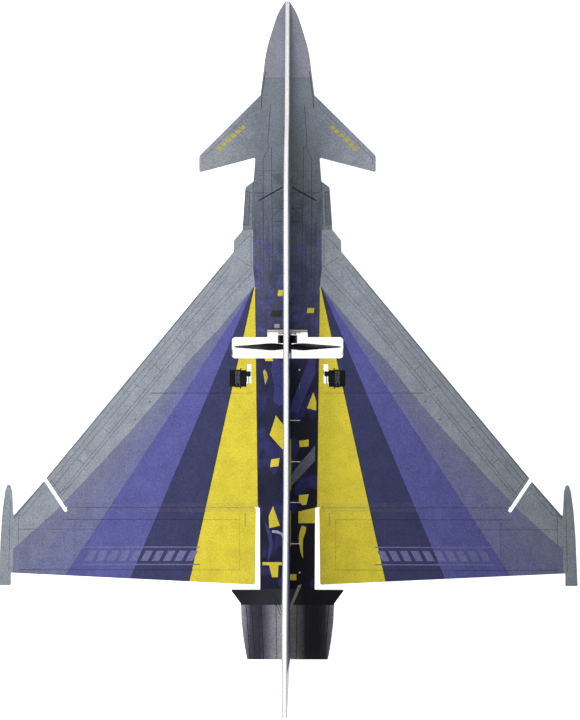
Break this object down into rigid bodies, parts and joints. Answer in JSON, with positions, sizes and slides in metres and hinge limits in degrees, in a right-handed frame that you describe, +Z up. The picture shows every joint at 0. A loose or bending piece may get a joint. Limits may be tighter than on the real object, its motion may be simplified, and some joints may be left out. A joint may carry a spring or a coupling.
{
  "type": "rc foam airplane",
  "caption": "Flat-foam delta jet with canards, a pusher propeller in a fuselage slot, a profile keel with fin and two servo-driven elevons.",
  "frame": {"origin": "under the middle of the length, on the symmetry plane, at the lower keel's flat bottom edge", "axes": "+X towards the nose, +Y to port, +Z up"},
  "size_m": [0.786, 0.65, 0.227],
  "materials": {
    "foam_print": "matte",
    "foam_white": "matte",
    "carbon": "satin",
    "clear_tape": "gloss",
    "plywood": "matte",
    "motor_black": "satin",
    "motor_base_metal": "satin",
    "steel": "satin",
    "core_steel": "satin",
    "copper": "satin",
    "magnet": "satin",
    "adapter_metal": "satin",
    "prop_black": "satin",
    "servo_black": "satin",
    "arm_plastic": "satin",
    "glass_fibre": "satin",
    "battery_wrap": "gloss",
    "shrink_sleeve": "gloss",
    "receiver_case": "matte",
    "plug_red": "gloss",
    "wire": "satin",
    "hook_loop": "matte"
  },
  "bodies": {
    "airframe": {"wing_plate": "foam_print", "upper_keel": "foam_print", "lower_keel": "foam_print", "main_spar": "carbon", "motor_mount_plate": "plywood", "motor_base": "motor_base_metal", "motor_bearings": "steel", "motor_stator": "core_steel", "motor_windings": "copper", "motor_screws": "steel", "battery": "battery_wrap", "battery_pad": "hook_loop", "battery_connector": "plug_red", "battery_lead": "wire", "esc": "shrink_sleeve", "esc_lead": "wire", "motor_leads": "wire", "receiver": "receiver_case", "receiver_antenna": "wire", "signal_lead": "wire", "servo_lead_left": "wire", "servo_lead_right": "wire", "hinge_tape_left": "clear_tape", "hinge_tape_right": "clear_tape", "servo_case_left": "servo_black", "servo_case_right": "servo_black", "servo_gear_cover_left": "servo_black", "servo_gear_cover_right": "servo_black", "servo_base_cover_left": "servo_black", "servo_base_cover_right": "servo_black", "servo_screws_left": "steel", "servo_screws_right": "steel"},
    "rotor": {"motor_bell": "motor_black", "motor_magnets": "magnet", "motor_shaft": "steel", "prop_adapter": "adapter_metal", "propeller": "prop_black", "prop_nut": "adapter_metal"},
    "elevon_left": {"elevon_left": "foam_print", "elevon_stiffener_left": "carbon", "control_horn_left": "glass_fibre"},
    "servo_arm_left": {"servo_shaft_left": "servo_black", "servo_arm_left": "arm_plastic", "servo_arm_screw_left": "steel"},
    "pushrod_left": {"pushrod_left": "steel", "horn_connector_left": "adapter_metal", "connector_screw_left": "steel"},
    "elevon_right": {"elevon_right": "foam_print", "elevon_stiffener_right": "carbon", "control_horn_right": "glass_fibre"},
    "servo_arm_right": {"servo_shaft_right": "servo_black", "servo_arm_right": "arm_plastic", "servo_arm_screw_right": "steel"},
    "pushrod_right": {"pushrod_right": "steel", "horn_connector_right": "adapter_metal", "connector_screw_right": "steel"}
  },
  "joints": [
    {"name": "propeller_spin", "type": "hinge", "parent": "airframe", "child": "rotor", "pos_m": [0.0054, 0, 0.076], "axis": [1, 0, 0], "continuous": true},
    {"name": "elevon_left_hinge", "type": "hinge", "parent": "airframe", "child": "elevon_left", "pos_m": [-0.175, 0.142, 0.079], "axis": [0, 1, 0], "range_deg": [-25, 25], "deforming": ["hinge_tape_left"]},
    {"name": "servo_arm_left_turn", "type": "hinge", "parent": "airframe", "child": "servo_arm_left", "pos_m": [-0.025, 0.0425, 0.076], "axis": [0, 1, 0], "range_deg": [-25, 25]},
    {"name": "pushrod_left_pivot", "type": "hinge", "parent": "servo_arm_left", "child": "pushrod_left", "pos_m": [-0.025, 0.0425, 0.065], "axis": [0, 1, 0], "range_deg": [-25, 25]},
    {"name": "elevon_right_hinge", "type": "hinge", "parent": "airframe", "child": "elevon_right", "pos_m": [-0.175, -0.142, 0.079], "axis": [0, 1, 0], "range_deg": [-25, 25], "deforming": ["hinge_tape_right"]},
    {"name": "servo_arm_right_turn", "type": "hinge", "parent": "airframe", "child": "servo_arm_right", "pos_m": [-0.025, -0.0425, 0.076], "axis": [0, 1, 0], "range_deg": [-25, 25]},
    {"name": "pushrod_right_pivot", "type": "hinge", "parent": "servo_arm_right", "child": "pushrod_right", "pos_m": [-0.025, -0.0425, 0.065], "axis": [0, 1, 0], "range_deg": [-25, 25]}
  ],
  "couplings": [
    {"joint": "servo_arm_left_turn", "follows": "elevon_left_hinge", "ratio": 1},
    {"joint": "pushrod_left_pivot", "follows": "elevon_left_hinge", "ratio": -1},
    {"joint": "servo_arm_right_turn", "follows": "elevon_right_hinge", "ratio": 1},
    {"joint": "pushrod_right_pivot", "follows": "elevon_right_hinge", "ratio": -1}
  ]
}
